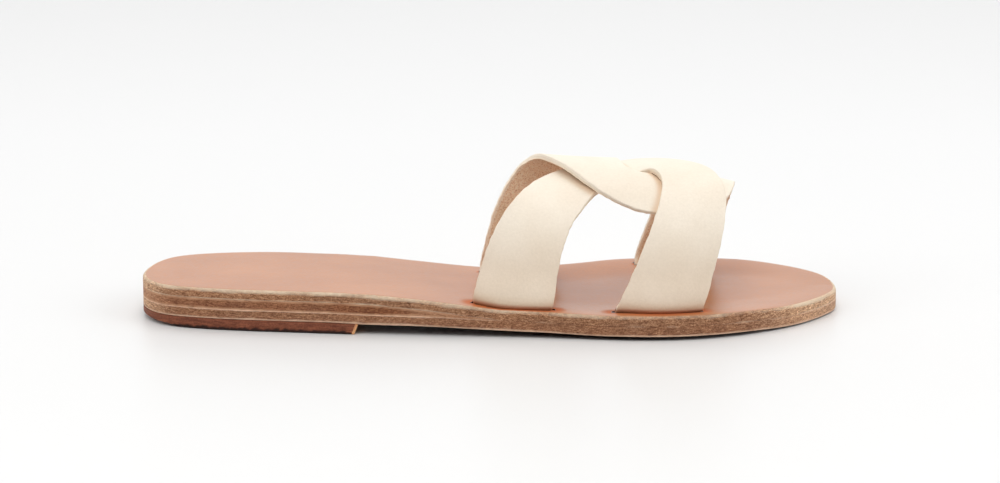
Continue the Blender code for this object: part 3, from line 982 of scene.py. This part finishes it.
def make_outsole():
    points, groups, rows, thick = sole_layer("outsole", outsole_top, underside, OUTSOLE_THICK)
    along = points[:, 0]
    top_line = pale_line(points, rows, thick, top=OUTSOLE_TOP_LINE) * steady_curve(SEAM_SHARE, 1, along)
    foot_line = pale_line(points, rows, thick, foot=OUTSOLE_FOOT_LINE)
    attributes = {"seam_and_highlight": np.maximum(top_line, foot_line), "tone": side_tone(along)}
    faces, slots = all_faces(groups, bottom=1)
    looks = [edge_leather("outsole_side", OUTSOLE_SIDE_TONES, OUTSOLE_LINE, line_least=0.45), sole_underside_shade()]
    make_piece("sole_outer", points, faces, slots, looks, "outsole", attributes)


def make_heel_pad():
    """Heel pad with a slanted, fresh-cut front and a notched rim at its foot."""
    top = lifted(underside, -LAYER_GAP)
    points, groups, rows, thick = sole_layer("heel pad", top, pad_bottom, PAD_THICK, PAD_FRONT)
    slant = PAD_FRONT_SLANT * (1 - points[:, 2] / PAD_THICK)
    points[:, 0] -= slant * ease(points[:, 0], PAD_FRONT - SLANT_RUN, PAD_FRONT)
    spots = np.column_stack([points[:, :2], np.zeros(len(points))])
    notches = ripple(spots, NOTCH_SIZE, NOTCH_SEED)
    notches += FINE_NOTCH * ripple(spots, FINE_NOTCH_SIZE, FINE_NOTCH_SEED)
    rim_height = RIM_HEIGHT + RIM_NOTCH * notches
    rim = 1 - ease(points[:, 2], RIM_BLUR[0] * rim_height, RIM_BLUR[1] * rim_height)
    rim[len(rows) * len(thick):] = 0.0
    from_front = PAD_FRONT - slant - points[:, 0]
    # Fresh is 1 at the border of the band, more inside it and less outside it
    attributes = {"rim": rim, "fresh": 1.5 - from_front / CUT_BAND / 2}
    looks = [heel_rubber()]
    faces, slots = all_faces(groups)
    make_piece("heel_top_piece", points, faces, slots, looks, "heel_pad", attributes)


# Straps


def on_arch(along, girth):
    """Points of the arch. Past the slot they go straight down."""
    lateral = girth < 0
    foot_across = np.where(lateral, slot_across(along, LATERAL), slot_across(along, MEDIAL))
    slot_height = insole_top(along, foot_across)
    crest_height = insole_top(along, np.full_like(along, CREST_ACROSS)) + steady_curve(ARCH_HEIGHT, 1, along)
    turn = np.linspace(math.pi / 2, 0.0, ARCH_POINTS)
    power = 2 / ARCH_SQUARENESS
    out, up = np.cos(turn).clip(0.0) ** power, np.sin(turn).clip(0.0) ** power
    across = CREST_ACROSS + (foot_across - CREST_ACROSS)[:, None] * out
    height = slot_height[:, None] + (crest_height - slot_height)[:, None] * up
    run = np.cumsum(np.hypot(np.diff(across, axis=1), np.diff(height, axis=1)), axis=1)
    run = np.column_stack([np.zeros(len(along)), run])
    target = np.minimum(np.abs(girth), 1.0) * run[:, -1]
    i = np.clip((run < target[:, None]).sum(axis=1) - 1, 0, ARCH_POINTS - 2)
    pick = np.arange(len(along))
    part = (target - run[pick, i]) / (run[pick, i + 1] - run[pick, i])
    y = across[pick, i] + (across[pick, i + 1] - across[pick, i]) * part
    z = height[pick, i] + (height[pick, i + 1] - height[pick, i]) * part
    past = np.maximum(np.abs(girth) - 1.0, 0.0) * run[:, -1]
    return np.column_stack([along + FORWARD_LEAN * (z - slot_height), y, z - past])


def arch_girth(along, side):
    """Length of the arch from crest to slot."""
    near = on_arch(np.full(GIRTH_POINTS, along), side * np.linspace(NEAR_CREST, 1.0, GIRTH_POINTS))
    return np.hypot(np.diff(near[:, 1]), np.diff(near[:, 2])).sum()


def strap_rows(table):
    """Smooth rows along a strap, with tucked rows at each end."""
    rows = [np.array(row[1:]) for row in table]
    last = len(rows) - 1
    steps = []
    for i in range(last):
        four = [rows[max(i - 1, 0)], rows[i], rows[i + 1], rows[min(i + 2, last)]]
        steps += [through(*four, step / STRAP_STEPS) for step in range(STRAP_STEPS)]
    steps.append(rows[-1])
    for end in (0, -1):
        base = steps[end].copy()
        side = LATERAL if base[1] < 0 else MEDIAL
        length = arch_girth(base[0], side)
        for k in range(1, TUCK_STEPS + 1):
            tucked = base.copy()
            tucked[[1, 4]] = side * (1.0 + TUCK * k / TUCK_STEPS / length)
            steps.insert(0 if end == 0 else len(steps), tucked)
    return np.array(steps)


def surface_normals(surface):
    """Outward unit normals of a strap's grid."""
    normal = unit(np.cross(np.gradient(surface, axis=0), np.gradient(surface, axis=1)))
    core = np.array([surface[..., 0].mean(), CREST_ACROSS, UNDER_ARCH_HEIGHT])
    return normal if (normal * (surface - core)).sum() > 0 else -normal


def strap_grid(table, seed):
    """Shares across a strap, and grids of its middle surface, its painted shade towards the low ends and how
    far under it runs.
    """
    steps = strap_rows(table)
    border = EDGE_ROUND / STRAP_WIDTH
    shares = np.concatenate([[0.0], np.linspace(border, 1 - border, STRAP_COLUMNS - 1), [1.0]])
    inner, outer = steps[:, None, :3], steps[:, None, 3:]
    values = inner + (outer - inner) * shares[None, :, None]
    shape = values.shape[:2]
    along, girth, lift = values.reshape(-1, 3).T
    plain = on_arch(along, girth)
    reach = np.abs(girth)
    bulge = BASE_BULGE * ease(reach, *BULGE_RISE) * (1 - ease(reach, *BULGE_FALL))
    wave = UNDULATION * ripple(plain, WAVE_SIZE, seed) * (1 - ease(reach, *WAVE_FADE))
    # Painted shade towards the low ends of the strap
    low = np.where(girth < 0, FOOT_PAINTED_SHADE[LATERAL], FOOT_PAINTED_SHADE[MEDIAL]) * ease(reach, *FOOT_GIRTH)
    for share, span in LOW_PAINTED_SHADE:
        low += share * ease(reach, *span)
    plain = plain.reshape(*shape, 3)
    middle = plain + surface_normals(plain) * (lift + bulge + wave).reshape(*shape, 1)
    return shares, middle, low.reshape(shape), ease(-lift, *UNDER_DROP).reshape(shape)


def raw_edge(middle, normal, at, beside, seed):
    """Strips round one raw edge, from the grain face to the suede face: points, kind, depth and column."""
    half = STRAP_THICK / 2
    base, up = middle[:, at], normal[:, at]
    outward = unit(base - middle[:, beside])
    uneven = EDGE_FRAY * ripple(base, FRAY_SIZE, seed + at + 1)
    uneven += EDGE_NICK * ripple(base, NICK_SIZE, seed + at + 2)
    frayed = base + uneven[:, None] * outward
    strips = []
    for inset, drop in rounding(EDGE_ROUND)[1:]:
        strips.append((frayed - outward * inset + up * (half - drop), "round", 0.0, at))
    wall = STRAP_THICK - EDGE_ROUND
    for k in range(1, EDGE_WALL_STEPS + 1):
        depth = k / EDGE_WALL_STEPS
        spot = frayed + up * (half - EDGE_ROUND - wall * depth)
        hair = ripple(spot, FRINGE_SIZE, seed + at + k)[:, None] * (FRINGE_LEAST + FRINGE * depth ** 2)
        strips.append((spot + outward * hair, "cut", depth, at))
    return strips


def tube_faces(kinds, count):
    """Faces round a strap and at its two ends, and the material slot of each."""
    slot_of = {"grain": 0, "suede": 1, "cut": 2}
    around = len(kinds)
    faces, slots = [], []
    for m in range(around):
        n = (m + 1) % around
        pair = {kinds[m], kinds[n]}
        kind = "cut" if "cut" in pair else ("grain" if "round" in pair else kinds[m])
        for i in range(count - 1):
            here, ahead = i * around, (i + 1) * around
            faces.append((ahead + m, ahead + n, here + n, here + m))
            slots.append(slot_of[kind])
    faces.append(tuple(range(around)))
    faces.append(tuple(reversed(range((count - 1) * around, count * around))))
    return faces, slots + [slot_of["cut"]] * 2


def strap_shape(table, seed):
    """Points, faces, face slots and attributes of a strap with a grain face, a suede face and raw edges."""
    shares, middle, low, under = strap_grid(table, seed)
    normal = surface_normals(middle)
    half = STRAP_THICK / 2
    last = STRAP_COLUMNS
    strips = [(middle[:, j] + normal[:, j] * half, "grain", 0.0, j) for j in range(1, last)]
    strips += raw_edge(middle, normal, last, last - 1, seed)
    for j in range(last - 1, 0, -1):
        from_edge = STRAP_WIDTH * min(shares[j], 1 - shares[j])
        strips.append((middle[:, j] - normal[:, j] * half, "suede", 1 - ease(from_edge, *HEM), j))
    strips += reversed(raw_edge(middle, normal, 0, 1, seed))
    lines, kinds, depths, columns = map(list, zip(*strips))
    points = np.stack(lines, axis=1).reshape(-1, 3)
    faces, slots = tube_faces(kinds, len(middle))
    attributes = {
        "depth": np.tile(depths, len(middle)),
        "low": low[:, columns].ravel(),
        "under": under[:, columns].ravel(),
    }
    return points, faces, slots, attributes


def shade_near_other(points, other):
    """How close each point lies to the other strap, for the painted shade there: 1 where they touch and 0 out
    of its reach.
    """
    tree = kdtree.KDTree(len(other))
    for i, spot in enumerate(other):
        tree.insert(spot, i)
    tree.balance()
    apart = np.array([tree.find(point)[2] for point in points])
    return 1 - ease(apart, *UNDER_STRAP_SHADE_REACH)


def make_straps():
    looks = [strap_grain(), strap_suede(), strap_cut()]
    lateral = strap_shape(LATERAL_STRAP, LATERAL_SEED)
    medial = strap_shape(MEDIAL_STRAP, MEDIAL_SEED)
    for name, own, other in (("strap_lateral", lateral, medial), ("strap_medial", medial, lateral)):
        points, faces, slots, attributes = own
        # Painted warm shade where the other strap lies over this one
        attributes["rub"] = attributes.pop("under") * shade_near_other(points, other[0])
        make_piece(name, points, faces, slots, looks, "upper", attributes)


# Slots


def slot_cutter():
    """The four slots that the strap ends go down into, as one cutter."""
    half = STRAP_THICK / 2 + SLOT_CLEARANCE
    points, faces = [], []
    for side, rear, front in slot_ends():
        first = len(points)
        spare = SLOT_END_CLEARANCE[side]
        for along in np.linspace(rear - spare, front + spare, SLOT_STEPS + 1):
            turn = slot_across(along + SLOT_TURN_STEP, side) - slot_across(along - SLOT_TURN_STEP, side)
            across = unit(np.array([-turn, 2 * SLOT_TURN_STEP]))
            plan = np.array([along, float(slot_across(along, side))])
            low = float(insole_bottom(*plan)) - SLOT_CUT_PAST
            high = float(insole_top(*plan)) + SLOT_CUT_PAST
            for way, height in ((-half, low), (half, low), (half, high), (-half, high)):
                points.append((*(plan + across * way), height))
        for k in range(SLOT_STEPS):
            at = first + 4 * k
            for j in range(4):
                i = (j + 1) % 4
                faces.append((at + j, at + i, at + 4 + i, at + 4 + j))
        end = first + 4 * SLOT_STEPS
        faces.append((first + 3, first + 2, first + 1, first))
        faces.append((end, end + 1, end + 2, end + 3))
    mesh = bpy.data.meshes.new("slot_cutter")
    mesh.from_pydata(((np.array(points) - MIDDLE) * MM).tolist(), [], faces)
    mesh.materials.append(slot_wall_shade())
    cutter = bpy.data.objects.new("slot_cutter", mesh)
    bpy.context.scene.collection.objects.link(cutter)
    return cutter


def cut(piece, cutter):
    """Takes the cutter out of the piece for good."""
    step = piece.modifiers.new("cut", "BOOLEAN")
    step.operation = "DIFFERENCE"
    step.solver = "EXACT"
    step.material_mode = "TRANSFER"
    step.object = cutter
    graph = bpy.context.evaluated_depsgraph_get()
    done = bpy.data.meshes.new_from_object(piece.evaluated_get(graph))
    piece.modifiers.clear()
    piece.data = done
    bpy.data.objects.remove(cutter)
    done.set_sharp_from_angle(angle=CREASE)


# Floor, light and camera


def make_floor():
    """White paper floor, with painted shade making it a little darker near the camera."""
    corners = [(-1, -1), (1, -1), (1, 1), (-1, 1)]
    mesh = bpy.data.meshes.new("floor")
    mesh.from_pydata([(x * FLOOR_HALF, y * FLOOR_HALF, -FLOOR_DROP) for x, y in corners], [], [(0, 1, 2, 3)])
    floor = bpy.data.objects.new("floor", mesh)
    bpy.context.scene.collection.objects.link(floor)
    paper = Surface("floor_paper", specular=0.3, roughness=0.4)
    across = paper.add("SeparateXYZ", paper.place).outputs[1]
    away = paper.spans(across, FLOOR_FADE, (0.0, 1.0))
    paper.set("Base Color", paper.ramp(away, (0.0, 1.0), FLOOR_COLOURS))
    mesh.materials.append(paper.material)


def make_sky():
    world = bpy.data.worlds.new("studio")
    world.use_nodes = True
    sky = Nodes(world.node_tree)
    across, rise = sky.add("SeparateXYZ", sky.add("TexCoord").outputs["Generated"]).outputs[1:3]

    def part(span, strengths, top):
        """Strength that changes from front to back and fades out towards the top."""
        level = sky.spans(across, span, strengths, "SMOOTHSTEP")
        return sky.times(level, sky.spans(rise, top, (1.0, 0.0), "SMOOTHSTEP"))

    behind = part(BEHIND_FADE, (0.0, SKY_BEHIND), BEHIND_TOP)
    before = part(BEFORE_FADE, (SKY_BEFORE, 0.0), BEFORE_TOP)
    background = world.node_tree.nodes["Background"].inputs
    sky.feed(background["Strength"], sky.math("SUBTRACT", sky.plus(behind, SKY_EVEN), before))
    sky.feed(background["Color"], PLAIN)
    bpy.context.scene.world = world


def look_from(holder, place, target):
    """Puts a light or camera at a place and turns it to a target."""
    holder.location = place
    holder.rotation_mode = "QUATERNION"
    holder.rotation_quaternion = (Vector(target) - Vector(place)).to_track_quat("-Z", "Y")
    bpy.context.scene.collection.objects.link(holder)


def make_softbox(name, place, target, size, watts):
    light = bpy.data.lights.new(name, "AREA")
    light.shape = "RECTANGLE"
    light.size, light.size_y = size, size
    light.energy = watts
    holder = bpy.data.objects.new(name, light)
    holder.visible_camera = False
    look_from(holder, place, target)


def make_camera():
    data = bpy.data.cameras.new("camera")
    data.sensor_width = SENSOR_WIDTH
    data.sensor_fit = "HORIZONTAL"
    data.lens = LENS
    data.clip_start, data.clip_end = CLIP_START, CLIP_END
    camera = bpy.data.objects.new("camera", data)
    look_from(camera, *((np.array(spot) - MIDDLE) * MM for spot in (EYE, AIM)))
    bpy.context.scene.camera = camera


footbed = make_footbed()
make_wedge()
make_outsole()
make_heel_pad()
make_straps()
cut(footbed, slot_cutter())

make_floor()
make_sky()
for softbox in SOFTBOXES:
    make_softbox(*softbox)
make_camera()
bpy.context.scene.view_settings.view_transform = "Standard"
